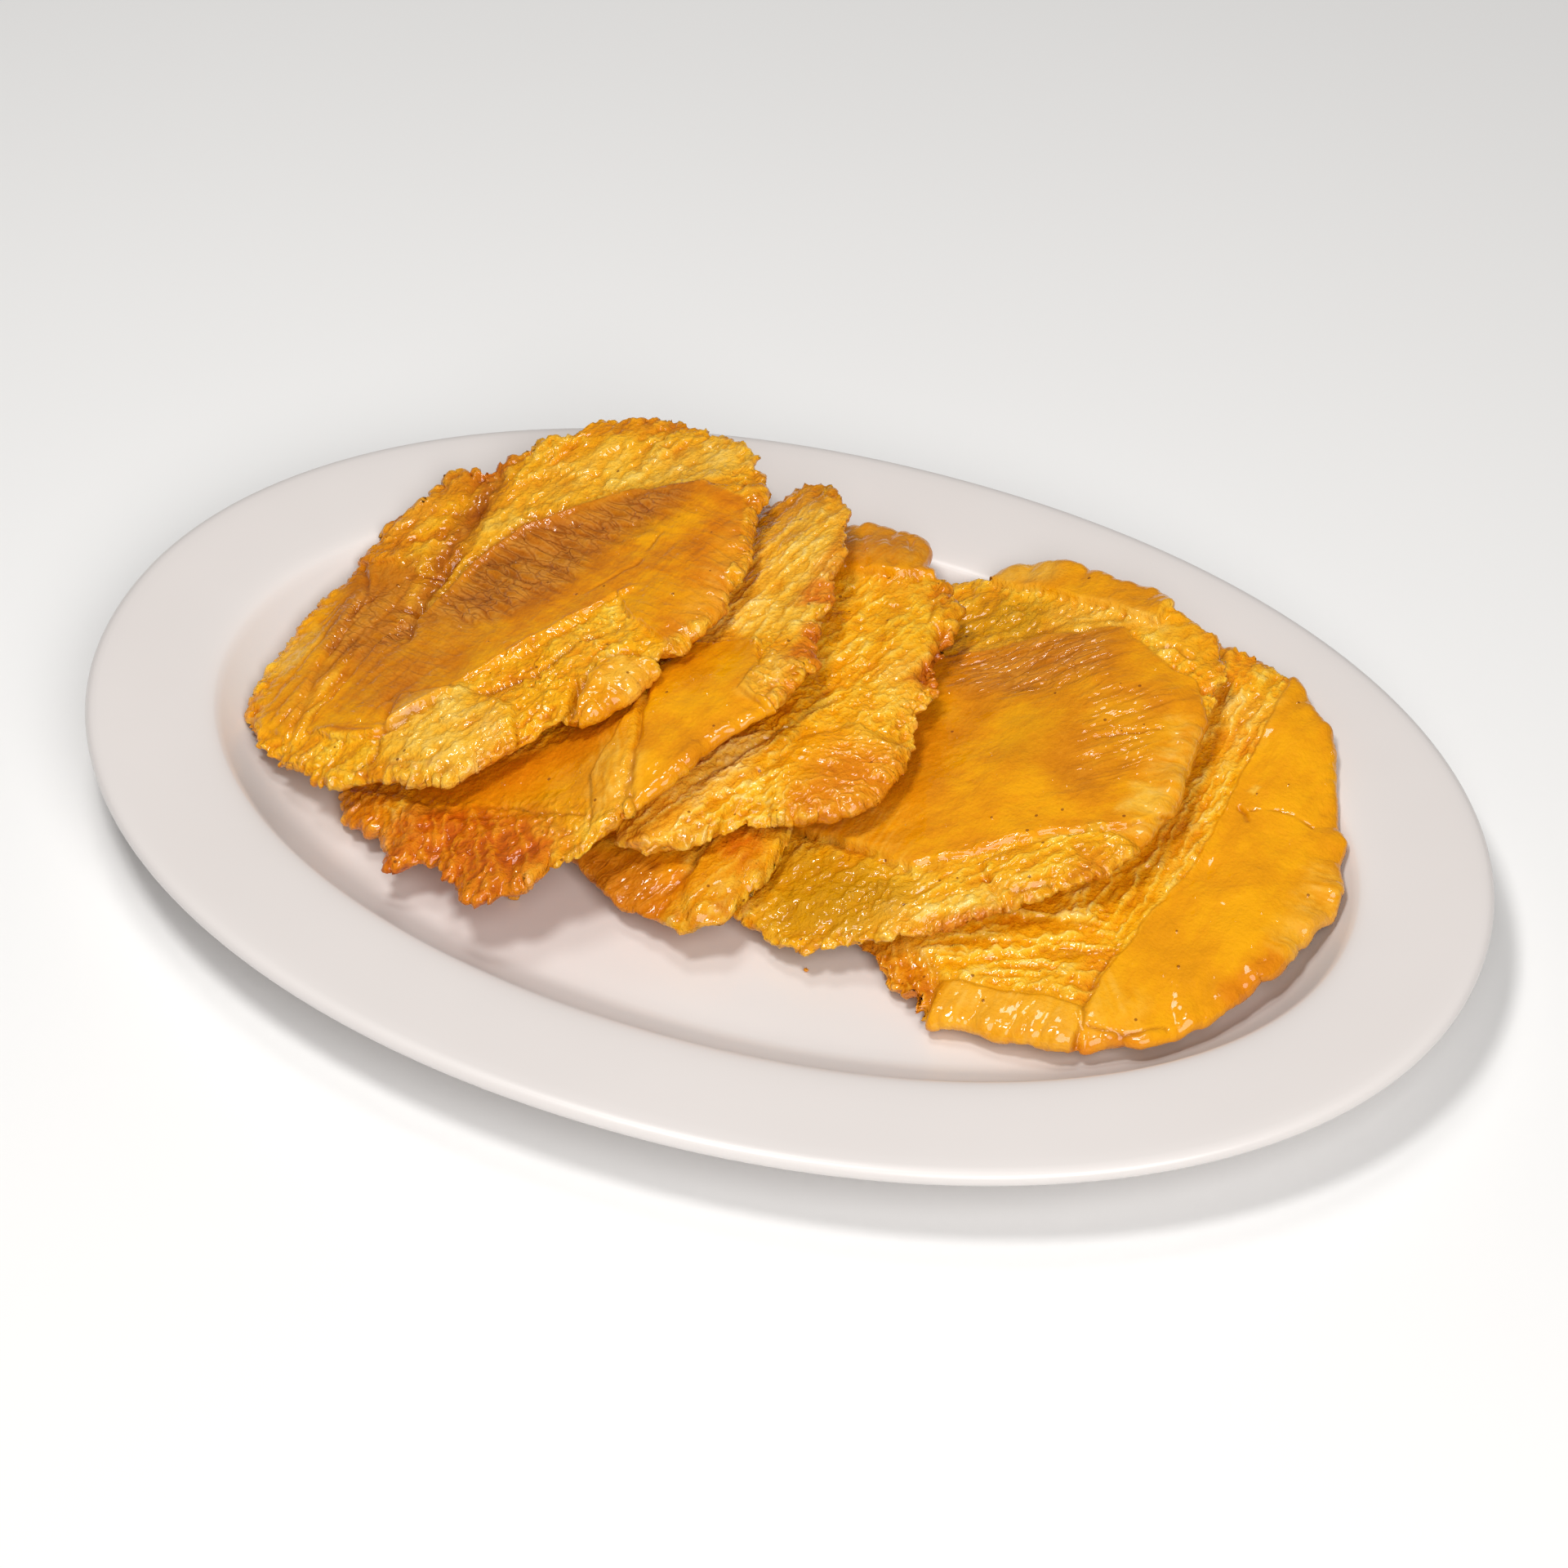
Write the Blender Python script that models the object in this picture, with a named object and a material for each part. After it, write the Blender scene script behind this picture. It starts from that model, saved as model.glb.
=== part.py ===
"""Six fried green plantain patties (tostones) shingled along an oval platter.

The platter lies on the table at z = 0 with its long axis along X and its middle at the origin.
The patties lean on one another from the right end of the platter to the left: each new one
is lowered onto the platter and the patties already there until it rests on three points.
Sizes are in millimetres and turned into metres when the meshes are made.
"""
import math

import bmesh
import bpy
import numpy as np
from mathutils import Vector
from mathutils.bvhtree import BVHTree

MM = 0.001

# Platter
HALF_LENGTH = 165.0      # outer rim, along X
HALF_WIDTH = 112.0       # outer rim, along Y
SQUARENESS = 2.06        # exponent of the oval, 2 being an ellipse
RIM_HEIGHT = 23.0        # table to the top of the outer edge
RIM_WIDTH = 29.0         # outer edge to the line where the well starts
RIM_FALL = 1.2           # the rim is this much lower at the well than at its edge
WELL_DEPTH = 13.0        # rim line down to the floor of the well
WALL_RUN = 17.0          # inset over which the wall falls to the floor
FLOOR_THICK = 5.2
RIM_THICK = 4.8
FOOT_INSET = 46.0        # outer edge of the platter to the outer side of the foot ring
FOOT_WIDTH = 4.5
PLATE_SIDES = 64

# Patties
SECTORS = 44
TOP_RINGS = (0.20, 0.38, 0.54, 0.68, 0.80, 0.90, 0.97)
UNDER_RINGS = (0.95, 0.80, 0.55, 0.28)
PATTY_THICK = 7.4        # in the middle
EDGE_THICK = 4.4         # near the rim
GAP = 0.30               # clear space kept between touching pieces
SAMPLE_STEP = 3.0        # spacing of the columns in which clearances are measured
SAG_PASSES = 2           # each pass lets a patty droop by a share of the air under it
SAG_SHARE = 0.25
SAG_REACH = 16.0         # breadth over which the droop is evened out

# Each patty: middle (x, y), reach of its rim every 20 degrees counted from +X, how far its
# far end curls up and the rolls on its upper side as (start, end, height, breadth).
PATTIES = (
    ("tostone_6", (80, 8),
     (49, 48, 51, 59, 65, 67, 59, 53, 48, 48, 53, 63, 63, 58, 57, 54, 49, 47),
     3.0, (((-24, -54), (10, -52), 2.0, 6.0), ((20, 50), (38, -30), 1.4, 9.0))),
    ("tostone_5", (42, 18),
     (46, 48, 58, 64, 63, 67, 63, 54, 48, 45, 49, 57, 68, 61, 53, 48, 47, 49),
     6.0, (((3, 60), (26, 55), 2.4, 6.0), ((4, 43), (39, 17), 1.3, 10.0))),
    ("tostone_4", (-20, 12),
     (32, 35, 39, 47, 52, 50, 43, 38, 35, 35, 38, 41, 47, 53, 61, 58, 39, 33),
     0.0, (((-8, -48), (18, -50), 1.0, 8.0),)),
    ("tostone_3", (-8, 16),
     (35, 38, 43, 53, 63, 61, 50, 44, 38, 38, 38, 43, 48, 56, 43, 42, 43, 40),
     9.0, (((0, 50), (20, 48), 2.4, 8.0), ((24, 26), (30, -6), 1.6, 8.0))),
    ("tostone_2", (-46, 8),
     (49, 49, 57, 70, 68, 50, 41, 37, 37, 40, 46, 62, 66, 67, 66, 52, 45, 45),
     9.0, (((27, 63), (34, 52), 2.2, 6.0), ((12, -9), (25, -36), 1.3, 9.0))),
    ("tostone_1", (-72, 20),
     (50, 51, 57, 67, 67, 62, 55, 53, 50, 51, 56, 65, 67, 59, 58, 48, 49, 46),
     8.0, (((-30, 10), (-2, 35), 1.9, 9.0), ((-2, 35), (30, 40), 1.7, 9.0),
           ((34, -20), (40, -16), 1.6, 7.0))),
)


def clear_scene():
    for ob in list(bpy.data.objects):
        bpy.data.objects.remove(ob, do_unlink=True)


def material(name, colour, roughness, coat):
    mat = bpy.data.materials.new(name)
    mat.use_nodes = True
    shader = mat.node_tree.nodes["Principled BSDF"]
    shader.inputs["Base Color"].default_value = (*colour, 1.0)
    shader.inputs["Roughness"].default_value = roughness
    shader.inputs["Coat Weight"].default_value = coat
    return mat


def add_object(name, verts, faces, mat):
    """Make a smooth-shaded object from vertices in millimetres."""
    mesh = bpy.data.meshes.new(name)
    mesh.from_pydata([tuple(MM * c for c in v) for v in verts], [], faces)
    mesh.materials.append(mat)
    mesh.polygons.foreach_set("use_smooth", [True] * len(mesh.polygons))
    mesh.update()
    ob = bpy.data.objects.new(name, mesh)
    bpy.context.scene.collection.objects.link(ob)
    return ob


def ring_faces(rings, sides, first_cap, last_cap):
    """Quads between consecutive rings, and fans to the two cap vertices."""
    faces = []
    for r in range(rings - 1):
        for s in range(sides):
            t = (s + 1) % sides
            faces.append((r * sides + s, r * sides + t, (r + 1) * sides + t, (r + 1) * sides + s))
    last = (rings - 1) * sides
    for s in range(sides):
        t = (s + 1) % sides
        faces.append((t, s, first_cap))
        faces.append((last + s, last + t, last_cap))
    return faces


# ---------------------------------------------------------------- platter

def plate_profile():
    """(inset from the outer edge, height) from the middle of the top round to the middle below."""
    line = RIM_HEIGHT - RIM_FALL
    floor = line - WELL_DEPTH
    under = floor - FLOOR_THICK
    wall = RIM_WIDTH
    top = [(75.0, floor), (wall + WALL_RUN + 8.0, floor + 0.1)]
    for k in range(6):
        share = k / 5.0
        top.append((wall + WALL_RUN - (WALL_RUN - 1.2) * share,
                    floor + 0.15 + (WELL_DEPTH - 0.65) * share ** 1.8))
    top += [(wall, line), (wall - 2.5, line + 0.25), (10.0, RIM_HEIGHT - 0.2), (2.2, RIM_HEIGHT)]
    edge = [(0.5, RIM_HEIGHT - 0.8), (0.0, RIM_HEIGHT - 2.0), (0.7, RIM_HEIGHT - 3.3)]
    below = [(4.0, RIM_HEIGHT - RIM_THICK + 0.2), (wall - 1.0, line - RIM_THICK),
             (wall + 6.0, line - RIM_THICK - 4.5), (FOOT_INSET - 1.2, under + 0.4)]
    foot = [(FOOT_INSET, 0.0), (FOOT_INSET + FOOT_WIDTH, 0.0),
            (FOOT_INSET + FOOT_WIDTH + 1.2, under), (75.0, under)]
    return top + edge + below + foot


def oval(inset, sides):
    """Points of the platter's oval drawn in by an inset."""
    a = HALF_LENGTH - inset
    b = HALF_WIDTH - inset
    points = []
    for s in range(sides):
        t = 2.0 * math.pi * s / sides
        c, d = math.cos(t), math.sin(t)
        x = a * math.copysign(abs(c) ** (2.0 / SQUARENESS), c)
        y = b * math.copysign(abs(d) ** (2.0 / SQUARENESS), d)
        points.append((x, y))
    return points


def make_plate():
    profile = plate_profile()
    verts = []
    for inset, height in profile:
        verts += [(x, y, height) for x, y in oval(inset, PLATE_SIDES)]
    first = len(verts)
    verts.append((0.0, 0.0, profile[0][1]))
    verts.append((0.0, 0.0, profile[-1][1]))
    faces = [f[::-1] for f in ring_faces(len(profile), PLATE_SIDES, first, first + 1)]
    glaze = material("glazed_white", (0.84, 0.80, 0.77), 0.16, 0.6)
    return add_object("plate", verts, faces, glaze)


# ---------------------------------------------------------------- patties

def reach_at(reach, angle):
    """Radius of the rim at an angle: a smooth closed curve through the given reaches."""
    count = len(reach)
    place = (angle / (2.0 * math.pi)) * count
    i = math.floor(place)
    t = place - i
    p = [reach[(i + k) % count] for k in (-1, 0, 1, 2)]
    return 0.5 * (2 * p[1] + (p[2] - p[0]) * t + (2 * p[0] - 5 * p[1] + 4 * p[2] - p[3]) * t ** 2
                  + (3 * p[1] - p[0] - 3 * p[2] + p[3]) * t ** 3)


def roll_height(x, y, rolls):
    total = 0.0
    for (x0, y0), (x1, y1), height, breadth in rolls:
        dx, dy = x1 - x0, y1 - y0
        along = ((x - x0) * dx + (y - y0) * dy) / (dx * dx + dy * dy)
        along = min(1.0, max(0.0, along))
        gap = math.hypot(x - x0 - along * dx, y - y0 - along * dy)
        total += height * math.exp(-(gap / breadth) ** 2)
    return total


def patty_mesh(number, middle, reach, curl, rolls):
    """Vertices and faces of one patty about a level middle plane at height 0."""
    def point(share, angle, side):
        knob = 1.0 + 0.012 * math.sin(9 * angle + number) + 0.010 * math.sin(14 * angle + 3 * number)
        radius = reach_at(reach, angle) * share * (knob if share > 0.9 else 1.0)
        x, y = radius * math.cos(angle), radius * math.sin(angle)
        lump = 0.5 * math.sin(0.13 * x + number) * math.sin(0.11 * y + 2 * number)
        half = 0.5 * (PATTY_THICK + (EDGE_THICK - PATTY_THICK) * share ** 3)
        half *= math.sqrt(max(0.0, 1.0 - share ** 14))
        z = curl * max(0.0, y / 60.0) ** 1.6 + lump + side * half
        if side > 0:
            z += roll_height(x, y, rolls) * (1.0 - share ** 8)
        return (middle[0] + x, middle[1] + y, z)

    rings = [(share, 1) for share in TOP_RINGS] + [(1.0, 0)] + [(s, -1) for s in UNDER_RINGS]
    verts = []
    for share, side in rings:
        verts += [point(share, 2.0 * math.pi * s / SECTORS, side) for s in range(SECTORS)]
    first = len(verts)
    verts += [point(0.0, 0.0, 1), point(0.0, 0.0, -1)]
    faces = [f[::-1] for f in ring_faces(len(rings), SECTORS, first, first + 1)]
    return np.array(verts), faces


def columns(tree, places, downward):
    """Height at which a vertical ray first meets a surface, or None, in each column."""
    heights = []
    for x, y in places:
        start = Vector((x, y, 200.0 if downward else -200.0))
        hit = tree.ray_cast(start, Vector((0, 0, -1 if downward else 1)))[0]
        heights.append(None if hit is None else hit.z)
    return heights


def resting_plane(points, centre):
    """Lowest plane over all the points at the centre: the facet of their hull above it."""
    bm = bmesh.new()
    for p in points:
        bm.verts.new(p)
    bmesh.ops.convex_hull(bm, input=bm.verts)
    bmesh.ops.triangulate(bm, faces=bm.faces)
    best = None
    for face in bm.faces:
        a, b, c = (v.co for v in face.verts)
        area = (b.x - a.x) * (c.y - a.y) - (b.y - a.y) * (c.x - a.x)
        if abs(area) < 1e-9:
            continue
        u = ((centre[0] - a.x) * (c.y - a.y) - (centre[1] - a.y) * (c.x - a.x)) / area
        v = ((b.x - a.x) * (centre[1] - a.y) - (b.y - a.y) * (centre[0] - a.x)) / area
        if u < -1e-9 or v < -1e-9 or u + v > 1 + 1e-9:
            continue
        height = a.z + u * (b.z - a.z) + v * (c.z - a.z)
        if best is None or height > best[0]:
            normal = (b - a).cross(c - a)
            best = (height, -normal.x / normal.z, -normal.y / normal.z)
    bm.free()
    height, slope_x, slope_y = best
    return slope_x, slope_y, height - slope_x * centre[0] - slope_y * centre[1]


def clearances(verts, faces, trees):
    """Rows of (x, y, air below) for the columns through a patty that meet something under it."""
    own = BVHTree.FromPolygons([Vector(v) for v in verts], faces)
    low, high = verts.min(axis=0), verts.max(axis=0)
    places = [(x, y) for x in np.arange(low[0], high[0], SAMPLE_STEP)
              for y in np.arange(low[1], high[1], SAMPLE_STEP)]
    under = columns(own, places, downward=False)
    grounds = [columns(tree, places, downward=True) for tree in trees]
    rows = []
    for i, (x, y) in enumerate(places):
        below = [ground[i] for ground in grounds if ground[i] is not None]
        if under[i] is not None and below:
            rows.append((x, y, under[i] - max(below) - GAP))
    return np.array(rows)


def rest(verts, faces, trees):
    """Tilt and lower a patty until it rests on what is there, then let it droop a little."""
    air = clearances(verts, faces, trees)
    plane = resting_plane([Vector((x, y, -a)) for x, y, a in air], verts.mean(axis=0))
    verts[:, 2] += plane[0] * verts[:, 0] + plane[1] * verts[:, 1] + plane[2]
    for _ in range(SAG_PASSES):
        air = clearances(verts, faces, trees)
        apart = ((verts[:, None, :2] - air[None, :, :2]) ** 2).sum(axis=2)
        weight = np.exp(-apart / SAG_REACH ** 2)
        verts[:, 2] -= SAG_SHARE * (weight @ air[:, 2]) / weight.sum(axis=1)
        verts[:, 2] -= min(0.0, clearances(verts, faces, trees)[:, 2].min())
    verts[:, 2] += 0.15
    return verts


def tree_of(ob):
    mesh = ob.data
    verts = [v.co / MM for v in mesh.vertices]
    return BVHTree.FromPolygons(verts, [tuple(p.vertices) for p in mesh.polygons])


def main():
    clear_scene()
    trees = [tree_of(make_plate())]
    for number, (name, middle, reach, curl, rolls) in enumerate(PATTIES):
        verts, faces = patty_mesh(number, middle, reach, curl, rolls)
        verts = rest(verts, faces, trees)
        crust = material(name + "_crust", (0.80, 0.40, 0.035), 0.42, 0.25)
        trees.append(tree_of(add_object(name, verts, faces, crust)))


main()
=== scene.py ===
"""Looks for an oval platter of six fried green plantain patties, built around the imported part.

Every patty is a dense closed mesh laid over its CAD solid: the plan outline, tilt and thickness are
read from the solid, and skins, folds, cracks and crusts are laid on it from short lists of marks.
Lengths are in millimetres until a mesh is made.
"""

import itertools
import math

import bpy
import numpy as np
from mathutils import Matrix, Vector
from mathutils.bvhtree import BVHTree


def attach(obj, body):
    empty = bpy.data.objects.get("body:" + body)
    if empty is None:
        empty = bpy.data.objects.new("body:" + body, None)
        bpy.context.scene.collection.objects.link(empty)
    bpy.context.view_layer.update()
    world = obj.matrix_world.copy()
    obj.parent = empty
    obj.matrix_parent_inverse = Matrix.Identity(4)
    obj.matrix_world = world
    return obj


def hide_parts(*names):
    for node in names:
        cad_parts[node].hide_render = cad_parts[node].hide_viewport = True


MM = 0.001

# Patty meshes
GRID = 265            # vertices along each side of a patty's upper grid
HIDDEN_GRID = 131     # the same for the patty that is nearly covered
BEARINGS = 540        # directions in which a solid's outline is read
COARSE = 46           # columns along each side in which a solid's heights are read
READ_SHARE = 0.92     # a solid's heights are read out to this share of its reach
ROUND = 2.1           # breadth of a patty's rounded rim
REST_GAP = 0.3        # kept between a patty and the floor of the well
RIM_LEVEL = 0.37      # height at which the noise of the outline is read
RIM_STEPS = (1.2, 1.4, 1.6, 1.8, 2)     # rings round the rim, from its upper side (1) to its lower (2)
# Rings under the patty, as shares of its reach
UNDER_STEPS = (0.985, 0.965, 0.94, 0.9, 0.85, 0.79, 0.72, 0.64, 0.55, 0.45, 0.34, 0.22, 0.1)

# Platter: outline, and the section of the CAD plate with its bends rounded, as (inset, height) from
# the middle of the well over the rim and back to the middle below
HALF_LENGTH = 165
HALF_WIDTH = 112
SQUARENESS = 2.06
PLATE_SIDES = 288
FLOOR = 8.95          # height of the well's floor
WELL_INSET = 46       # where the floor meets the wall
WALL_BREADTH = 16
WALL_HEIGHT = 11.9
WALL_STEPS = 13
WELL = ((75, 8.8), (62, 8.8), (54, 8.9), (49, FLOOR))
RIM = ((29.2, 20.8), (28, 21.18), (26.4, 21.48), (24, 21.75), (20, 22.05), (15, 22.35), (10, 22.65),
       (6, 22.9), (3.2, 23), (1.9, 22.92), (1, 22.6), (0.4, 22.05), (0.08, 21.3), (0.1, 20.5),
       (0.6, 19.7), (1.8, 19))
UNDERSIDE = ((4, 18.4), (14, 17.8), (28, 17), (31, 16.2), (35, 12.5), (40, 7.6), (44.6, 4.2), (45.7, 2.6),
             (46, 0.9), (46.7, 0.05), (49.8, 0.05), (50.6, 0.9), (51.3, 3), (52.4, 3.6), (75, 3.6))

# Crumbs fallen on the platter: place, size and browning
CRUMBS = ((-44.6, -46.6, 1.5, 0.4), (24.5, -42.6, 0.6, 0.7), (-95.7, -32.7, 0.6, 0),
          (115.9, -20.2, 0.8, 0), (-103, -26, 0.45, 0.2))
CRUMB_ROWS, CRUMB_TURNS = 9, 14
CRUMB_SHAPE = (1, 0.8, 0.6)     # length, width and height for a size of 1
WALL_SLOPE = 0.45               # of the wall's foot, where a crumb lies on it

# Camera at the photo's angle, and lights: name, azimuth, elevation, distance, size, watts; in metres
TARGET = Vector((0.00297, -0.00281, 0.023))
AZIMUTH, ELEVATION, DISTANCE = 22.238, 44.068, 1.155
LENS, SENSOR = 117.59, 36
LIGHTS = (("key", -20, 72, 1, 0.2, 4), ("back", 240, 76, 1, 0.26, 1.7), ("fill", 38, 42, 1.4, 1, 13))
LIGHT_COLOUR = (1, 0.985, 0.965)
SKY_COLOUR, SKY_STRENGTH = (1, 0.985, 0.97, 1), 0.13

# Colours, those of a surface as (noise, colour) stops; for most crust ramps the noise takes in the relief,
# which paints shade into the hollows and light onto the crests
FLESH = ((0.2, (0.58, 0.155, 0.001)), (0.32, (0.85, 0.32, 0.001)), (0.44, (0.93, 0.42, 0.004)),
         (0.6, (0.97, 0.57, 0.04)), (0.76, (0.99, 0.7, 0.16)))
TAN = ((0.47, (1, 1, 1)), (0.68, (0.93, 0.76, 0.4)))
SKIN = ((0.34, (0.54, 0.138, 0.001)), (0.46, (0.75, 0.24, 0.001)), (0.57, (0.88, 0.36, 0.001)))
PALE = ((0.25, (0.84, 0.37, 0.01)), (0.46, (0.93, 0.52, 0.05)), (0.68, (0.97, 0.66, 0.19)))
BROWN = ((0.24, (0.2, 0.035, 0.001)), (0.46, (0.5, 0.135, 0.002)), (0.66, (0.72, 0.29, 0.024)))
CRISP = ((0.22, (0.28, 0.035, 0.001)), (0.42, (0.6, 0.11, 0.001)), (0.64, (0.8, 0.235, 0.003)))
YOUNG_SKIN = (0.9, 0.42, 0.001)
GREENS = ((0.5, 0.205, 0.001), (0.72, 0.33, 0.002))
# Painted highlight for the lips of the creases, and painted shade for their cores.
LIP_HIGHLIGHT = (0.86, 0.42, 0.1)
CREASE_SHADE = (0.26, 0.055, 0.002)
TOASTED = (0.66, 0.19, 0.002)
SHADE = (0.27, 0.05, 0.001)
SPECK = (0.2, 0.05, 0.004)
GLAZE = ((0.3, (0.75, 0.705, 0.685)), (0.7, (0.78, 0.735, 0.715)))
PAINT = ((0.3, (0.9, 0.9, 0.9)), (0.7, (0.92, 0.92, 0.92)))
CRUST_BUMP, GLAZE_BUMP = 0.0005, 0.0004       # metres

# Marks on the patties, in plan from each patty's middle: (kind, corners or line, softness or breadth,
# strength or height or depth), and for wrinkle, pleat and comb a direction in degrees, then a spacing.
#   skin brown crisp pale green     painted areas
#   raise       a raised area, with painted shade at its foot
#   wrinkle     rough wrinkles, on flesh, with painted shade in their valleys
#   pleat       smooth wrinkles, on skin, with painted shade in their grooves
#   comb        pale fine lines
#   ridge       a ridge along a line, a groove where the height is negative
#   crack       a groove along a line, with painted shade inside
#   stain       brown along a line
AREAS = ("skin", "brown", "crisp", "pale", "green")
MASKS = AREAS + ("painted_shade", "relief", "rim", "wrinkled")

TOSTONE_1 = (
    ("skin", ((-21, -4), (-18, 13), (-11, 24), (0, 32), (12, 38), (27, 41), (40, 38), (46, 22), (49, 0),
        (42, -12), (31, -6), (24, 2), (16, -8), (8, -18), (0, -28), (-6, -38), (-12, -47), (-24, -49),
        (-33, -46), (-34, -28), (-31, -12)), 0.7, 1),
    ("skin", ((-48, 2), (-42, 10), (-32, 9), (-28, -6), (-33, -20), (-35, -34), (-34, -50), (-43, -50),
        (-49, -30), (-50, -10)), 1.5, 0.8),
    ("skin", ((29, -36), (31, -21), (41, -19), (45, -26), (38, -44)), 0.8, 0.5),
    ("brown", ((-21, -2), (-17, 14), (-11, 24), (0, 32), (12, 38), (27, 40), (25, 29), (15, 22), (12, 8),
        (4, -6), (-8, -12), (-24, -12)), 5, 0.88),
    ("brown", ((-31, 2), (-20, -4), (0, -12), (-3, -27), (-10, -40), (-24, -42), (-31, -28)), 5, 0.45),
    ("brown", ((-48, 8), (-30, 12), (-26, -10), (-31, -24), (-42, -22)), 3, 0.85),
    ("brown", ((-45, -24), (-34, -22), (-34, -46), (-41, -44)), 4, 0.35),
    ("stain", ((-27, 52), (-25, 30), (-26, 10), (-25, -12), (-29, -22)), 3.8, 1),
    ("stain", ((-44, 40), (-34, 50), (-20, 60)), 3, 0.35),
    ("crisp", ((-48, 8), (-44, 34), (-30, 48), (-20, 58), (-24, 44), (-33, 30), (-37, 10)), 3, 0.55),
    ("crisp", ((-12, 56), (8, 68), (20, 66), (4, 58)), 2, 0.4),
    ("crisp", ((26, 42), (44, 48), (50, 0), (44, -18), (37, 0), (34, 36)), 4, 0.25),
    ("raise", ((-21, -6), (-18, 13), (-11, 24), (0, 32), (12, 38), (27, 41), (44, 44), (54, 20),
        (52, -14), (42, -12), (31, -6), (24, 2), (16, -8), (8, -18), (0, -28), (-8, -42), (-14, -48),
        (-24, -50), (-33, -47), (-31, -34), (-28, -14)), 0.7, 1.4),
    ("raise", ((-13, -36), (0, -31), (14, -36), (20, -46), (8, -60), (-14, -60)), 1.2, 1.1),
    ("raise", ((28, -38), (30, -21), (41, -18), (47, -24), (40, -46)), 0.7, 1.9),
    ("raise", ((-31, -48), (-14, -47), (-12, -62), (-34, -60)), 0.9, 1),
    ("raise", ((-40, 10), (-30, 12), (-29, 50), (-20, 66), (-50, 50), (-52, 12)), 1, 1),
    ("raise", ((-52, 4), (-42, 10), (-38, -4), (-40, -26), (-36, -50), (-56, -40)), 1, 0.9),
    ("ridge", ((-20, -6), (-17, 13), (-10, 24), (2, 33), (18, 40), (29, 41)), 1.1, 0.8),
    ("ridge", ((-25, 40), (-25, 28), (-26, 8), (-25, -14)), 2.4, -1.6),
    ("ridge", ((-8, -42), (0, -29), (9, -17), (18, -6), (27, 4)), 0.9, 1),
    ("ridge", ((-34, -20), (-36, -34), (-34, -50)), 1.6, 1.3),
    ("ridge", ((-30, -48), (-13, -46), (-5, -38)), 1.2, 0.8),
    ("crack", ((-22, 20), (-24, 8), (-26, 0), (-24, -8), (-22, -16)), 1.1, 1.6),
    ("pleat", ((-32, 8), (-21, 10), (-20, -16), (-30, -18)), 2, 1, 10, 2.6),
    ("crack", ((-22, -6), (-20, 12), (-13, 24), (-4, 31)), 0.8, 0.9),
    ("crack", ((-12, -47), (-4, -37), (5, -31), (14, -25), (20, -16), (29, -9)), 0.8, 1.1),
    ("crack", ((-16, -36), (-13, -44), (-12, -52), (-14, -58)), 0.8, 1.2),
    ("crack", ((26, -26), (29, -36), (31, -42)), 1, 2),
    ("crack", ((27, -40), (28, -30), (29, -20), (36, -16), (44, -19)), 0.9, 1.6),
    ("ridge", ((30, -36), (32, -24), (38, -20)), 0.9, 0.6),
    ("crack", ((-46, 10), (-40, 0), (-39, -12), (-40, -22)), 0.7, 0.8),
    ("crack", ((16, 2), (24, 12), (26, 24)), 0.5, 0.4),
    ("pale", ((-21, 14), (-12, 24), (-2, 34), (12, 42), (26, 46), (24, 58), (6, 58), (-12, 46),
        (-22, 30)), 4, 0.3),
    ("pale", ((13, 43), (30, 43), (36, 52), (26, 61), (14, 55)), 4, 0.75),
    ("pale", ((-12, -36), (0, -32), (12, -38), (18, -46), (10, -58), (-4, -60), (-12, -50)), 3, 0.55),
    ("pale", ((-53, -28), (-47, -12), (-43, -18), (-46, -30)), 2, 0.6),
    # Painted light: the lit face of the flap, laid on as pale.
    ("pale", ((31, -28), (34, -20), (42, -21), (40, -30)), 2, 0.7),
    ("pleat", ((-21, -8), (-18, 12), (-8, 16), (2, 4), (0, -12)), 4, 1, -38, 2.9),
    ("pleat", ((-18, 10), (-10, 24), (2, 26), (14, 12), (8, 0), (-4, 4)), 4, 1.1, -24, 2.9),
    ("pleat", ((-8, 24), (12, 38), (28, 40), (32, 26), (14, 16)), 4, 1, -6, 2.9),
    ("pleat", ((-30, -6), (-4, -12), (-8, -44), (-28, -44)), 5, 0.4, 66, 6),
    ("pleat", ((-48, -4), (-32, 4), (-30, -30), (-33, -50), (-46, -44)), 3, 1, 80, 3.6),
    ("pleat", ((30, 34), (46, 30), (50, -10), (36, -14), (28, 0)), 5, 0.4, 70, 6),
    ("comb", ((42, 30), (52, 20), (52, -12), (44, -14), (40, 8)), 3, 0.25, -12),
)
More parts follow.
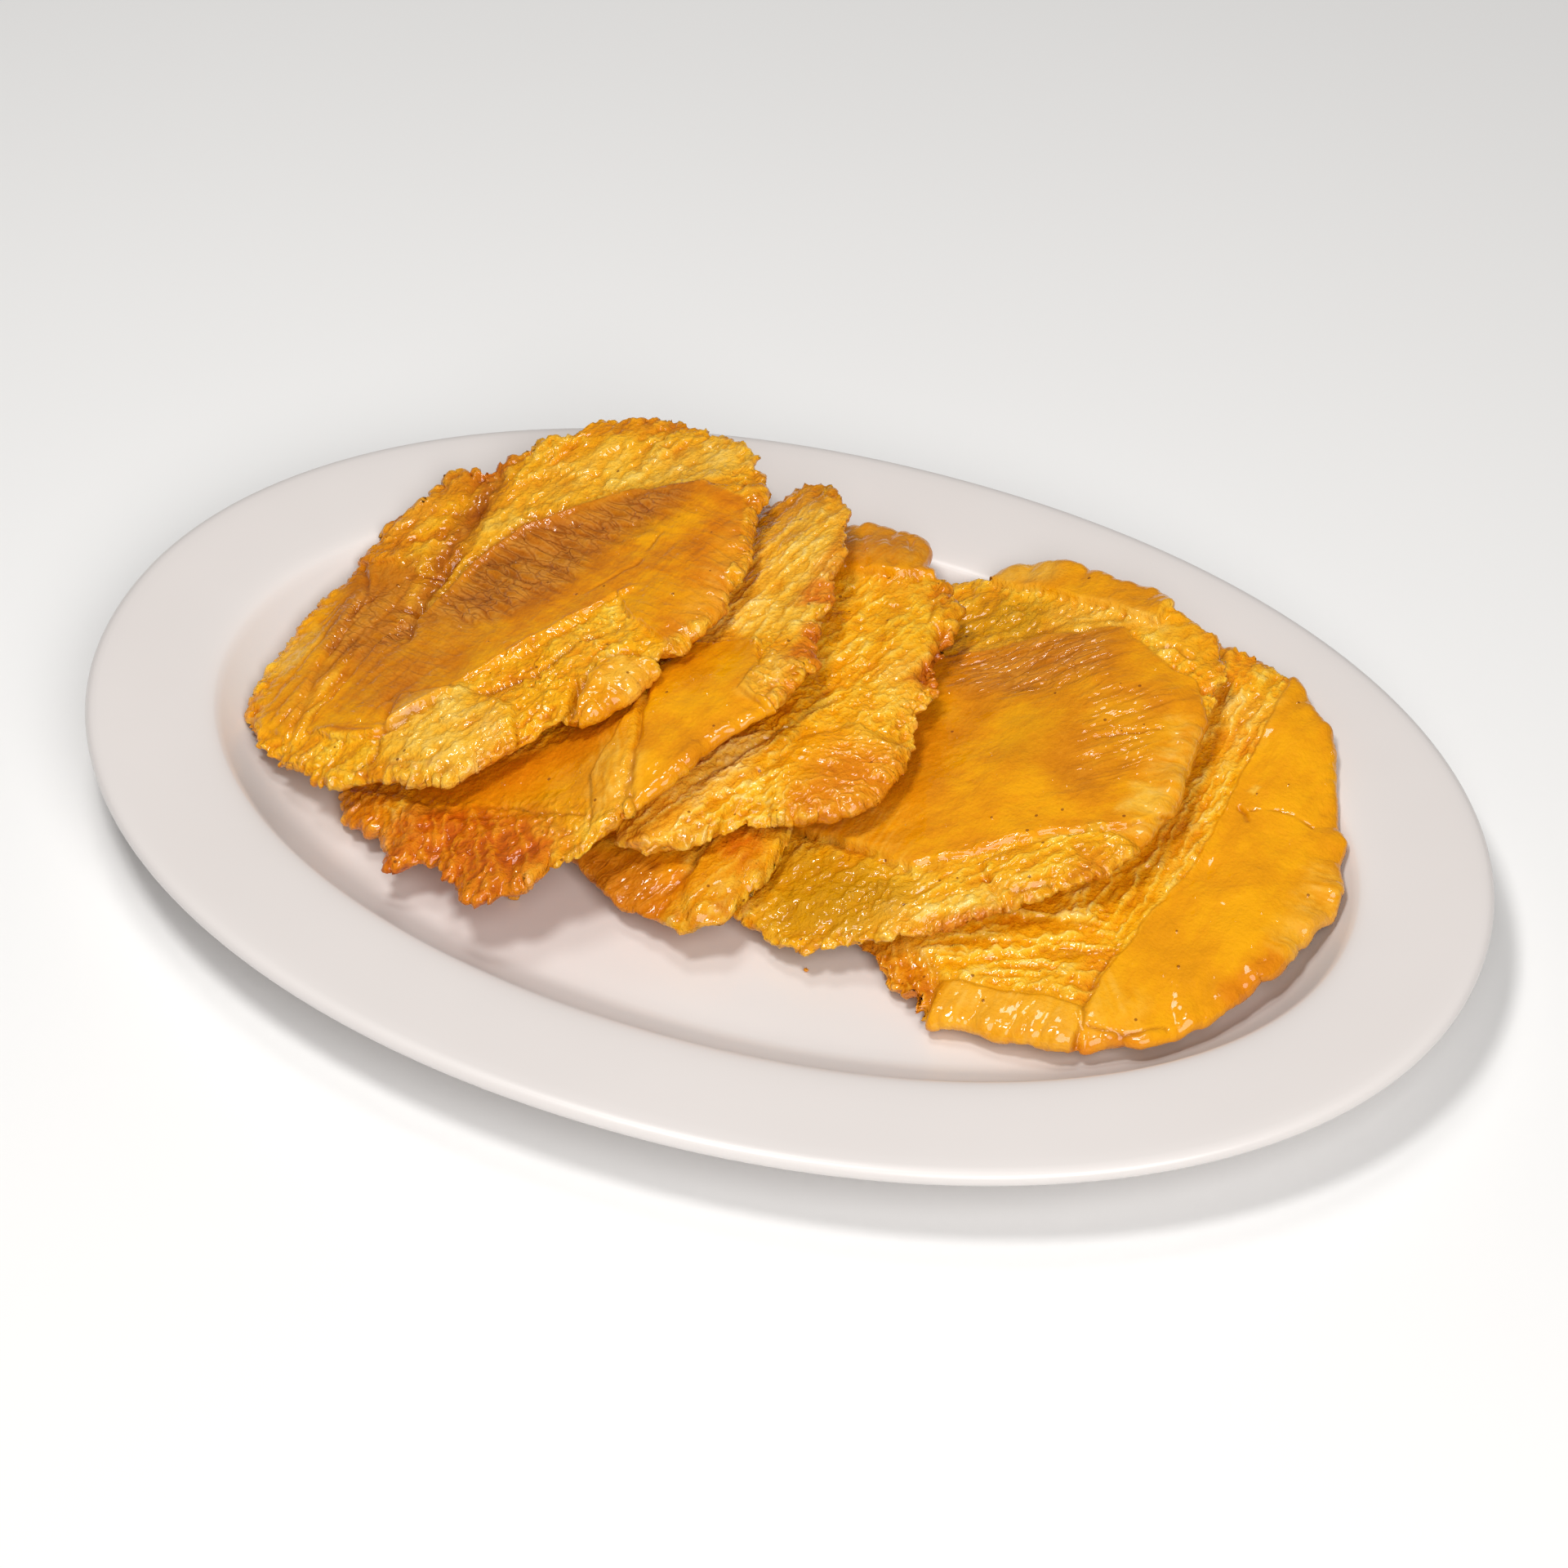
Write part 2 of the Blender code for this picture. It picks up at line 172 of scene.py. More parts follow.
TOSTONE_2 = (
    ("skin", ((13, -1), (20, 8), (33, 10), (37, 2), (38, -5), (42, -9), (48, -11), (36, -27), (26, -46),
        (19, -26)), 0.8, 1),
    ("skin", ((-30, -38), (0, -24), (13, -6), (19, -26), (24, -44), (14, -52), (-6, -49), (-26, -47)), 2,
        0.9),
    ("raise", ((13, -1), (20, 9), (34, 11), (37, 2), (38, -5), (42, -9), (50, -11), (36, -28), (26, -48),
        (20, -26)), 0.8, 1.2),
    ("raise", ((37, -8), (46, -12), (50, 4), (46, 20), (38, 18), (37, 4)), 0.9, 1.3),
    ("raise", ((14, -10), (18, -22), (27, -47), (20, -52), (13, -36)), 1, 1),
    ("raise", ((-50, -40), (-30, -44), (-12, -50), (4, -47), (16, -54), (14, -70), (-30, -70)), 1.6, 0.6),
    ("crack", ((10, 3), (15, -8), (19, -22), (25, -42)), 0.9, 1.2),
    ("ridge", ((14, -20), (18, -34), (23, -46)), 2, 0.8),
    ("crack", ((-8, -45), (2, -46), (16, -47)), 0.6, 0.6),
    ("ridge", ((3, -78), (1, -64), (-4, -54)), 2.2, 1.2),
    ("ridge", ((-22, -70), (-22, -58), (-26, -48)), 2.2, 1),
    ("ridge", ((10, -74), (9, -62)), 1.6, 0.8),
    ("ridge", ((-12, -68), (-13, -56)), 2.4, -1.2),
    ("ridge", ((7, -72), (5, -62)), 1.4, -1),
    ("crisp", ((-30, -50), (-14, -44), (2, -46), (14, -53), (12, -80), (-6, -80), (-30, -72)), 5, 1),
    ("crisp", ((-50, -38), (-34, -40), (-26, -56), (-32, -66)), 4, 0.7),
    ("crisp", ((-28, -34), (0, -22), (12, -10), (10, -30), (-2, -46), (-28, -46)), 5, 0.5),
    ("crisp", ((37, 25), (47, 25), (47, 35), (38, 34)), 2, 0.9),
    ("crisp", ((43, 5), (51, 6), (51, 20), (43, 18)), 2, 0.9),
    ("crisp", ((36, 36), (44, 34), (46, 46), (38, 50)), 2, 0.5),
    ("brown", ((-17, -50), (-4, -49), (-2, -60), (-14, -60)), 3, 0.6),
    ("brown", ((1, -54), (12, -55), (9, -66), (-1, -64)), 3, 0.6),
    ("brown", ((12, 56), (30, 60), (30, 76), (8, 76)), 4, 0.45),
    ("brown", ((24, 4), (34, 6), (34, 12), (22, 12)), 3, 0.4),
    ("pale", ((12, 12), (16, 46), (20, 62), (36, 60), (45, 30), (42, 14), (28, 12)), 4, 0.55),
    ("pale", ((19, 36), (21, 55), (36, 57), (37, 42)), 4, 0.5),
    ("pale", ((37, -9), (45, -9), (47, 6), (39, 6)), 2, 0.5),
    ("pale", ((-29, -60), (-20, -60), (-20, -48), (-28, -48)), 2.5, 0.8),
    ("pale", ((18, -30), (24, -30), (27, -46), (22, -48)), 2, 0.35),
    ("wrinkle", ((14, 14), (16, 46), (22, 64), (36, 62), (46, 28), (42, 12)), 4, 0.9, 75, 3.4),
    ("wrinkle", ((-36, -44), (16, -42), (20, -56), (0, -76), (-34, -66)), 4, 1.1, -62, 3),
    ("comb", ((8, -20), (18, -26), (27, -46), (18, -52)), 2, 0.5, -62),
)
TOSTONE_3 = (
    ("skin", ((-14, 46), (0, 43), (14, 44), (22, 47), (16, 60), (4, 68), (-14, 66)), 1, 1),
    ("skin", ((16, -12), (24, -5), (33, -8), (38, -22), (30, -36), (18, -34), (12, -24)), 5, 0.45),
    ("brown", ((-14, 45), (2, 43), (18, 45), (16, 60), (4, 66), (-14, 62)), 2, 0.4),
    ("brown", ((24, 36), (32, 34), (34, 46), (26, 52)), 3, 0.4),
    ("crisp", ((22, -14), (34, -10), (39, -24), (28, -38), (17, -34), (18, -22)), 5, 0.6),
    ("crisp", ((29, 12), (38, 12), (38, 31), (30, 30)), 2, 0.9),
    ("pale", ((-12, -42), (-4, -16), (6, -14), (6, -28), (-2, -42)), 3, 0.9),
    ("pale", ((-18, -54), (-12, -36), (0, -36), (4, -46), (-6, -57)), 4, 0.5),
    ("pale", ((24, -2), (36, -2), (36, 22), (24, 20)), 5, 0.3),
    ("raise", ((-14, 46), (0, 43), (14, 44), (22, 47), (17, 62), (4, 70), (-14, 66)), 1, 1.8),
    ("raise", ((14, -14), (24, -6), (36, -9), (41, -24), (30, -40), (16, -37), (10, -26)), 2.2, 1.2),
    ("raise", ((26, 32), (24, 46), (30, 54), (38, 44), (40, 30)), 1, 1.1),
    ("raise", ((-20, -56), (-8, -24), (4, -14), (12, -10), (8, -26), (4, -50)), 1.2, 0.8),
    ("ridge", ((-2, 62), (2, 52), (6, 45)), 0.9, -0.7),
    ("ridge", ((6, 64), (8, 54), (12, 46)), 0.9, -0.7),
    ("ridge", ((10, 62), (13, 54), (17, 47)), 0.9, -0.6),
    ("ridge", ((-12, -44), (-4, -28), (2, -14), (12, -4)), 2, 0.9),
    ("crack", ((-4, -34), (4, -20), (10, -8), (16, 2)), 0.8, 0.7),
    ("crack", ((30, 30), (33, 22), (32, 14)), 1.4, 2.2),
    ("wrinkle", ((0, 42), (20, 44), (32, 30), (30, -4), (10, -10), (4, 10)), 4, 0.7, 65, 3.2),
    ("wrinkle", ((-16, -52), (-4, -16), (10, -10), (20, -34), (0, -50)), 4, 1, 55, 2.6),
    ("wrinkle", ((16, -10), (36, -8), (38, -26), (24, -38), (10, -34)), 3, 0.9, 20, 3),
    ("comb", ((-12, 47), (18, 47), (14, 66), (-10, 68)), 1.5, 0.35, 72),
)
TOSTONE_4 = (
    ("skin", ((-20, -44), (10, -44), (16, -52), (12, -64), (-14, -60)), 2, 1),
    ("brown", ((-20, -44), (6, -44), (12, -54), (8, -64), (-14, -60)), 4, 0.55),
    ("crisp", ((8, -60), (10, -42), (26, -40), (28, -60)), 5, 0.35),
    ("crisp", ((17, -32), (27, -32), (27, -44), (18, -44)), 3, 0.8),
    ("raise", ((16, -30), (30, -30), (30, -48), (20, -62), (14, -50)), 1.2, 1.2),
    ("wrinkle", ((-16, -44), (30, -30), (30, -66), (-10, -64)), 4, 0.9, 60, 3.4),
    ("crack", ((12, -38), (14, -46), (10, -54)), 0.9, 1.2),
)
TOSTONE_5 = (
    ("skin", ((-34, -30), (-15, -33), (-2, -37), (10, -31), (22, -22), (34, -15), (46, -18), (50, 0),
        (46, 22), (40, 33), (30, 37), (18, 46), (8, 43), (0, 41), (-8, 37), (-18, 32), (-34, 30)), 1, 1),
    ("skin", ((-18, 58), (0, 55), (14, 52), (25, 50), (25, 64), (0, 70), (-18, 68)), 1, 0.9),
    ("skin", ((26, 44), (40, 38), (44, 50), (28, 60)), 2.5, 0.4),
    ("raise", ((-34, -30), (-15, -33), (-2, -37), (10, -30), (24, -20), (40, -14), (52, 0), (46, 22),
        (40, 33), (30, 37), (18, 46), (8, 43), (0, 41), (-8, 37), (-18, 32), (-34, 30)), 0.8, 1.3),
    ("raise", ((-19, 58), (0, 55), (14, 52), (25.5, 49), (25.5, 66), (0, 72), (-19, 70)), 0.7, 1.8),
    ("raise", ((12, -32), (24, -22), (34, -16), (46, -18), (40, -32), (24, -44)), 1, 0.7),
    ("brown", ((-20, 33), (-8, 38), (0, 42), (18, 47), (20, 32), (6, 20), (-10, 18), (-22, 22)), 5, 0.7),
    ("brown", ((14, 26), (36, 30), (38, 8), (26, -8), (16, -2)), 6, 0.3),
    # Painted shadow: the shadow of the patty beside it on this one's left side, laid on as brown.
    ("brown", ((-24, 20), (-6, 16), (-6, -14), (-24, -26)), 6, 0.35),
    ("green", ((-34, -36), (-12, -37), (2, -44), (-6, -58), (-30, -60)), 5, 0.9),
    ("green", ((-24, 36), (-2, 42), (0, 52), (-20, 54)), 4, 0.8),
    ("green", ((2, 14), (14, 16), (14, -2), (4, -4)), 5, 0.35),
    ("pale", ((37, -9), (45, -9), (45, 0), (38, 0)), 2.5, 0.8),
    ("pale", ((-18, 58), (-4, 58), (-4, 70), (-18, 70)), 3, 0.6),
    ("pale", ((0, 44), (18, 48), (28, 47), (24, 51), (0, 54)), 2, 0.6),
    ("pale", ((-6, -48), (8, -44), (24, -34), (28, -42), (8, -56), (-8, -58)), 3, 0.25),
    ("crisp", ((8, -50), (26, -40), (30, -46), (14, -58)), 2, 0.8),
    ("crisp", ((32, -22), (42, -20), (42, -30), (32, -34)), 3, 0.4),
    ("crack", ((-34, -30), (-15, -34), (-2, -38)), 0.9, 1),
    ("crack", ((24, 10), (30, 13), (37, 16)), 0.5, 0.8),
    ("crack", ((27, 42), (31, 43), (36, 41)), 0.9, 1.6),
    ("crack", ((14, -36), (22, -38), (30, -34)), 0.7, 1),
    ("ridge", ((28, 40), (32, 41), (37, 39)), 0.9, 0.9),
    ("ridge", ((-18, 33), (-8, 38), (2, 43), (18, 48)), 1.4, 0.8),
    ("ridge", ((42, 24), (46, 8), (45, -8), (40, -16)), 2.5, 0.8),
    ("pleat", ((-18, 33), (0, 42), (18, 47), (22, 30), (4, 18), (-14, 20)), 4, 0.7, 30, 3.6),
    ("pleat", ((16, 26), (38, 30), (40, 4), (26, -8)), 4, 0.6, 38, 3.8),
    ("wrinkle", ((4, -30), (24, -20), (40, -16), (30, -36), (8, -54), (-4, -48)), 3, 0.8, 50, 3),
    ("comb", ((38, 20), (50, 20), (50, -14), (40, -16)), 3, 0.5, 8),
    ("comb", ((-30, -18), (-8, -20), (-4, -36), (-30, -32)), 3, 0.3, 82),
)
TOSTONE_6 = (
    ("skin", ((19, 70), (19, 40), (18, 20), (17, 0), (13, -15), (9, -35), (7, -48), (14, -60), (40, -48),
        (56, -10), (56, 14), (38, 54)), 1, 1),
    ("skin", ((-24, -47), (-8, -46), (9, -45), (10, -64), (-24, -66)), 1, 0.9),
    ("raise", ((19, 70), (19, 40), (18, 20), (17, 0), (13, -15), (9, -35), (7, -48), (14, -62), (40, -52),
        (60, -10), (60, 14), (38, 58)), 0.8, 1),
    ("raise", ((-24, -48), (-8, -47), (8, -46), (10, -66), (-24, -68)), 1.1, 1.7),
    ("raise", ((-30, -44), (-24, -48), (-26, -62), (-50, -60), (-50, -44)), 2, -0.8),
    ("crisp", ((-50, -40), (-32, -42), (-24, -49), (-25, -64), (-46, -58)), 3, 0.6),
    ("crisp", ((36, -34), (46, -18), (40, -17), (33, -30)), 2, 0.5),
    ("crisp", ((6, -62), (26, -52), (26, -47), (8, -54)), 1.6, 0.5),
    ("brown", ((2, 30), (14, 34), (16, -4), (4, -10)), 4, 0.2),
    ("pale", ((39, -13), (52, -14), (56, 2), (43, 0)), 3, 0.35),
    ("pale", ((-20, -49), (8, -48), (8, -56), (-20, -58)), 2.5, 0.3),
    ("pale", ((6, 52), (18, 52), (18, 38), (6, 38)), 4, 0.4),
    ("pale", ((21, 24), (23, 24), (24, 27), (22, 27)), 0.6, 0.9),
    ("crack", ((21, 19), (23, 18), (24, 16)), 0.5, 0.9),
    ("crack", ((24, 19), (30, 21), (38, 20)), 0.4, 0.5),
    ("crack", ((8, -30), (7, -40), (8, -47)), 0.7, 0.9),
    ("crack", ((10, -50), (18, -50), (26, -45)), 0.5, 0.6),
    ("ridge", ((18, 44), (18, 20), (16, 0), (12, -16), (8, -36)), 1.6, 0.7),
    ("ridge", ((20, 40), (21, 20), (19, 0)), 3, -0.5),
    ("wrinkle", ((2, 60), (18, 60), (17, 0), (10, -24), (-8, -20), (0, 0)), 3, 1.15, 84, 3.2),
    ("wrinkle", ((-32, -42), (-20, -22), (0, -16), (10, -28), (8, -44), (-20, -46)), 3, 1.15, 20, 3.2),
    ("wrinkle", ((-44, -44), (-30, -42), (-24, -50), (-26, -62), (-44, -56)), 2, 1.2, -50, 2.6),
    ("comb", ((-22, -48), (8, -47), (8, -62), (-22, -64)), 1.5, 0.45, 84),
    ("comb", ((41, 10), (56, 10), (50, -20), (40, -16)), 3, 0.5, 4),
    ("comb", ((6, -34), (20, -40), (24, -52), (8, -52)), 3, 0.3, -52),
)

# Bites out of the outline, added to it where the depth is negative: x, y, radius, depth
BITES = {
    "1": ((-49, 4, 5, 4.5), (-42, 32, 5, 3.5), (-31, 46, 5, 3), (-14, 61, 5.5, 5), (9, 67, 5, -2.5),
          (44, 42, 6, -2.5), (-22, -62, 5, -2.5), (2, -60, 6, -2.5), (26, -43, 3, 4), (37, -36, 4, -3.5),
          (45, -17, 2.5, 2.5), (14, -53, 4, 1.5)),
    "2": ((20, 68, 9, -2), (16, 67, 2.4, 3.5), (26, 67, 5, -3.5), (-1, -68, 4, -5), (6, -67, 4, -6.5),
          (13, -64, 3, -3), (-22, -62, 3.2, -5), (-13, -65, 3.4, 3.5), (-33, -57, 4.5, 3),
          (50, 16, 3, 1.5)),
    "3": ((20, 55, 6, 7), (27, 51, 3, -2), (35, 36, 5, -2), (36, 22, 2.6, 4), (34, 5, 2.5, 1.5),
          (10, -46, 4, 2)),
    "4": ((18, -58, 4.5, -4.5), (26, -55, 4.5, -6)),
    "5": ((22, 62, 4, -1.5), (28, 58, 3, 3), (40, 50, 5, -2), (-20, 62, 2.2, 2.5), (-15, -63, 4, -2),
          (-28, -61, 4, 2), (16, -54, 3, 2.5), (44, -24, 3, 2)),
    "6": ((20, 60, 6, -2.5), (44, 19, 3.5, -2), (41, -26, 3, 1), (18, -56, 6, 3.5),
          (-23, -59, 2.4, -3.5), (-33, -59, 4, 2.5)),
}
# Places with a flakier outline: x, y, radius, strength
RAGGED = {
    "1": ((-40, 40, 20, 0.7), (-35, -56, 20, 0.5), (12, -56, 14, 0.6)),
    "2": ((0, -66, 22, 1), (48, 20, 16, 0.5)),
    "3": ((34, 20, 26, 0.8), (20, -38, 20, 0.4)),
    "4": (),
    "5": ((15, -52, 18, 0.6), (42, 46, 12, 0.5)),
    "6": ((40, -26, 10, 1), (-32, -56, 12, 0.8)),
}

# name, middle in plan, grid, directions of the flesh's fibres and of the skin's pleats,
# warmth of the skin, marks
PATTIES = (
    ("1", (-72, 20), GRID, 62, -20, 0.9, TOSTONE_1),
    ("2", (-46, 8), GRID, 70, 60, 0.6, TOSTONE_2),
    ("3", (-8, 16), GRID, 62, 60, 0.6, TOSTONE_3),
    ("4", (-20, 12), HIDDEN_GRID, 60, 60, 0.9, TOSTONE_4),
    ("5", (42, 18), GRID, 50, 38, 0.6, TOSTONE_5),
    ("6", (80, 8), GRID, 75, 80, 0.25, TOSTONE_6),
)


# ---- noise

GRADIENTS = np.random.default_rng(7).normal(size=(256, 3))
GRADIENTS /= np.linalg.norm(GRADIENTS, axis=1)[:, None]


def scramble(cells, seed):
    """A repeatable number from 0 to 255 for each lattice cell."""
    x, y, z = (cells[:, k].astype(np.int64).astype(np.uint32) for k in range(3))
    n = x * np.uint32(73856093) ^ y * np.uint32(19349663) ^ z * np.uint32(83492791)
    n = n ^ np.uint32((seed * 2654435761) % 2 ** 32)
    n = (n ^ (n >> np.uint32(15))) * np.uint32(2246822519)
    n = (n ^ (n >> np.uint32(13))) * np.uint32(3266489917)
    return ((n ^ (n >> np.uint32(16))) & np.uint32(255)).astype(np.int64)


def noise(points, seed):
    """Gradient noise, about -1 to 1."""
    cell = np.floor(points)
    rest = points - cell
    fade = rest ** 3 * (rest * (rest * 6 - 15) + 10)
    total = np.zeros(len(points))
    for corner in itertools.product((0, 1), repeat=3):
        corner = np.array(corner)
        weight = np.where(corner, fade, 1 - fade).prod(axis=1)
        total += weight * ((rest - corner) * GRADIENTS[scramble(cell + corner, seed)]).sum(axis=1)
    return 1.7 * total


def layered(points, octaves, seed):
    """Noise with finer noise on it."""
    return sum(noise(points * 2.03 ** k, seed + k) * 0.5 ** k for k in range(octaves))


def ridged(points, octaves, seed):
    """Sharp crests and broad valleys, about 0 to 1."""
    total = sum((1 - np.minimum(1, 1.6 * abs(noise(points * 2.1 ** k, seed + k)))) * 0.5 ** k
                for k in range(octaves))
    return total / (2 - 0.5 ** (octaves - 1))


def drift(points, octaves, *seeds):
    """One column of noise for each seed, to move points about with."""
    return np.stack([layered(points, octaves, seed) for seed in seeds], axis=1)


def turned(points, degrees, long, wide):
    """Points measured along and across a direction, so that noise on them is drawn out along it."""
    c, s = math.cos(math.radians(degrees)), math.sin(math.radians(degrees))
    along = (points[:, 0] * c + points[:, 1] * s) / long
    across = (points[:, 1] * c - points[:, 0] * s) / wide
    return np.stack([along, across, points[:, 2] / wide], axis=1)


def smooth_step(values):
    t = np.clip(values, 0, 1)
    return t * t * (3 - 2 * t)


def terraced(values, edge):
    """Steps of one unit with steep edges, as torn layers have."""
    whole = np.floor(values)
    return whole + smooth_step((values - whole - 1 + edge) / edge)


# ---- marks

def line_gap(plan, line, closed=False):
    """Distance from plan points to a line of points."""
    ends = list(zip(line, line[1:] + line[:1] if closed else line[1:]))
    best = np.full(len(plan), 1e9)
    for a, b in ends:
        a, b = np.array(a, float), np.array(b, float)
        t = np.clip((plan - a) @ (b - a) / ((b - a) @ (b - a)), 0, 1)
        best = np.minimum(best, np.linalg.norm(plan - a - t[:, None] * (b - a), axis=1))
    return best


def inside(plan, corners, softness):
    """1 well inside a closed shape, 0 well outside."""
    odd = np.zeros(len(plan), bool)
    for (ax, ay), (bx, by) in zip(corners, corners[1:] + corners[:1]):
        crosses = (ay > plan[:, 1]) != (by > plan[:, 1])
        if ay != by:
            odd ^= crosses & (plan[:, 0] < ax + (plan[:, 1] - ay) * (bx - ax) / (by - ay))
    gap = line_gap(plan, corners, closed=True)
    return smooth_step(0.5 + np.where(odd, gap, -gap) / (2 * softness))


def along_line(plan, line, breadth):
    """1 on a line, falling off beside it."""
    return np.exp(-(line_gap(plan, line) / breadth) ** 2)


def spots(plan, places):
    """Sum of soft round spots, each given by x, y, radius and strength."""
    total = np.zeros(len(plan))
    for x, y, radius, strength in places:
        total += strength * np.exp(-(np.linalg.norm(plan - (x, y), axis=1) / radius) ** 2)
    return total


def lay_marks(points, bent, marks, seed):
    """Heights and masks that a patty's marks give its points."""
    loose = points[:, :2] + 1.2 * drift(points / 5, 2, seed + 1, seed + 2)
    steady = points[:, :2] + 0.7 * drift(points / 6, 1, seed + 6, seed + 7)
    straight = np.concatenate([steady, points[:, 2:]], axis=1)
    laid = {kind: np.zeros(len(points)) for kind in (*MASKS, "lined", "lift", "wrinkle", "lines")}

    def cover(kind, values):
        laid[kind] = np.maximum(laid[kind], values)

    for number, (kind, place, size, strength, *course) in enumerate(marks):
        own = seed + 60 + number
        ground = steady if kind in ("skin", "raise", "ridge", "crack") else loose
        here = (along_line if kind in ("ridge", "crack", "stain") else inside)(ground, place, size)
        if kind in AREAS:
            cover(kind, strength * here)
        elif kind == "stain":
            cover("brown", strength * here)
        elif kind == "raise":
            foot = 9.5 * here * (1 - here) ** 3
            laid["lift"] += strength * here - 0.25 * foot
            # Painted shade along the foot of the raised area.
            cover("painted_shade", 0.4 * foot * smooth_step(0.55 + 0.9 * noise(points / 4, own)))
        elif kind == "ridge":
            laid["lift"] += strength * (0.75 + 0.5 * noise(points / 6, own)) * here
        elif kind == "crack":
            broken = smooth_step(0.75 + 0.9 * noise(points / 4, own))
            laid["lift"] -= strength * broken * here
            # Painted shade inside the crack.
            cover("painted_shade", 0.7 * broken * along_line(steady, place, 0.7 * size))
        elif kind == "comb":
            laid["lines"] += strength * here * noise(turned(straight, *course, 16, 0.9), own + 20)
            cover("lined", strength * here)
        else:
            direction, spacing = course
            cover("wrinkled", here)
            if kind == "wrinkle":
                crest = ridged(turned(bent, direction, 7 * spacing, spacing), 2, own + 20)
                laid["wrinkle"] += here * strength * 0.8 * (crest ** 3 - 0.2)
                # Painted shade in the valleys between the wrinkles' crests.
                cover("painted_shade", 0.3 * here * min(1, strength) * smooth_step((0.4 - crest) / 0.3))
            else:
                groove = ridged(turned(straight, direction, 8 * spacing, spacing), 2, own + 20) ** 3
                laid["wrinkle"] += here * strength * 0.8 * (0.25 - groove)
                # Painted shade in the pleats' grooves.
                cover("painted_shade", 0.22 * here * strength * groove)
    return laid


# ---- fine surface

def torn_flesh(points, bent, grain, seed):
    """Height of fibres, torn sheets and curls of flesh, and the weight of the shade painted at the edges of
    the sheets.
    """
    pull = layered(turned(bent, grain, 6.5, 2.8), 3, seed + 12)
    torn = (1.6 * layered(turned(bent, grain, 20, 9), 2, seed + 13)
            + 0.3 * noise(points / 1.7, seed + 14))
    curly = smooth_step((noise(points / 7, seed + 16) + 0.1) / 0.5)
    curl = ridged(bent / 2.5, 2, seed + 17) ** 3
    height = 0.5 * pull + 0.28 * terraced(torn, 0.22) + curly * (0.9 * curl - 0.2)
    return height, np.exp(-((torn - np.floor(torn) - 0.74) / 0.1) ** 2)


def surface(points, rim_gap, grain, marks, seed):
    """Height of the fine surface over its solid, and the masks that colour it, at patty points."""
    bent = points + 0.9 * drift(points / 2.4, 1, seed + 3, seed + 4, seed + 5)
    laid = lay_marks(points, bent, marks, seed)
    skin, wrinkle, lines, lined = laid["skin"], laid["wrinkle"], laid["lines"], laid["lined"]
    rough = 1 - 0.9 * skin
    calm = 1 - 0.5 * laid["wrinkled"]
    bead = noise(points / 1.3, seed + 15)
    flesh, shade = torn_flesh(points, bent, grain, seed)
    fine = calm * flesh + 0.13 * bead + 0.05 * noise(points / 0.9, seed + 21)
    sleek = (0.03 * noise(turned(points, grain, 16, 0.9), seed + 27)
             + 0.1 * noise(points / 5, seed + 28) + 0.05 * noise(points / 2.2, seed + 11) + 0.03 * bead)
    rim = np.exp(-(rim_gap / 3.5) ** 2)
    knobs = 0.9 * (ridged(points / 3.2, 2, seed + 24) - 0.5) + 0.25 * noise(points / 1.3, seed + 29)
    detail = (rough * fine + wrinkle + 0.16 * lines + skin * sleek
              + rim * (0.08 + 0.92 * rough) * knobs)
    height = 0.5 * layered(points / 12, 2, seed + 10) + laid["lift"] + detail

    mask = {kind: laid[kind] for kind in MASKS}
    combed = lined * np.clip(0.55 + 0.9 * lines / np.maximum(lined, 0.05), 0, 1)
    mask["pale"] = np.maximum(mask["pale"], combed)
    # Painted shade at the edges of the torn sheets of flesh, added to the painted shade of the marks.
    mask["painted_shade"] = np.maximum(mask["painted_shade"], 0.28 * rough * calm * shade)
    # Relief: height of the fine detail and wrinkles; the colour ramps turn it into painted shade in the
    # hollows and painted light on the crests.
    mask["relief"] = np.clip(0.45 + 0.5 * detail + 0.45 * rough * wrinkle, 0, 1)
    mask["rim"] = rim * (0.35 + 0.65 * rough)
    mask["wrinkled"] = mask["wrinkled"] * skin
    return height, mask


# ---- reading a solid

def outline(solid, middle):
    """Reach of a solid's plan outline from its middle, as a function of the angle."""
    co = np.array([v.co[:2] for v in solid.data.vertices]) / MM - middle
    ends = np.array([e.vertices[:] for e in solid.data.edges])
    a, b = co[ends[:, 0]], co[ends[:, 1]]
    side = b - a
    turns = np.linspace(0, 2 * math.pi, BEARINGS, endpoint=False)
    reach = np.zeros(BEARINGS)
    for k, angle in enumerate(turns):
        ray = np.array([math.cos(angle), math.sin(angle)])
        across = ray[0] * side[:, 1] - ray[1] * side[:, 0]
        across[abs(across) < 1e-9] = 1e-9
        far = (a[:, 0] * side[:, 1] - a[:, 1] * side[:, 0]) / across
        place = (a[:, 0] * ray[1] - a[:, 1] * ray[0]) / across
        reach[k] = far[(place >= 0) & (place <= 1)].max()
    turns, reach = np.append(turns, 2 * math.pi), np.append(reach, reach[0])
    return lambda angle: np.interp(np.mod(angle, 2 * math.pi), turns, reach)


def disc_grid(count):
    """A square grid folded onto a disc: place on the grid, share of the reach and angle of its points."""
    side = np.linspace(-1, 1, count)
    a, b = np.meshgrid(side, side, indexing="ij")
    wide = abs(a) > abs(b)
    safe_a, safe_b = np.where(a == 0, 1, a), np.where(b == 0, 1, b)
    angle = np.where(wide, math.pi / 4 * b / safe_a, math.pi / 2 - math.pi / 4 * a / safe_b)
    angle = angle + math.pi * np.where(wide, a < 0, b < 0)
    return a, b, np.maximum(abs(a), abs(b)), angle


def carry(coarse, fine):
    """Weights that carry a coarse row of samples smoothly onto a finer row."""
    gap = np.linspace(0, coarse - 1, fine)[:, None] - np.arange(coarse)
    weight = np.exp(-0.8 * gap ** 2)
    return weight / weight.sum(axis=1, keepdims=True)


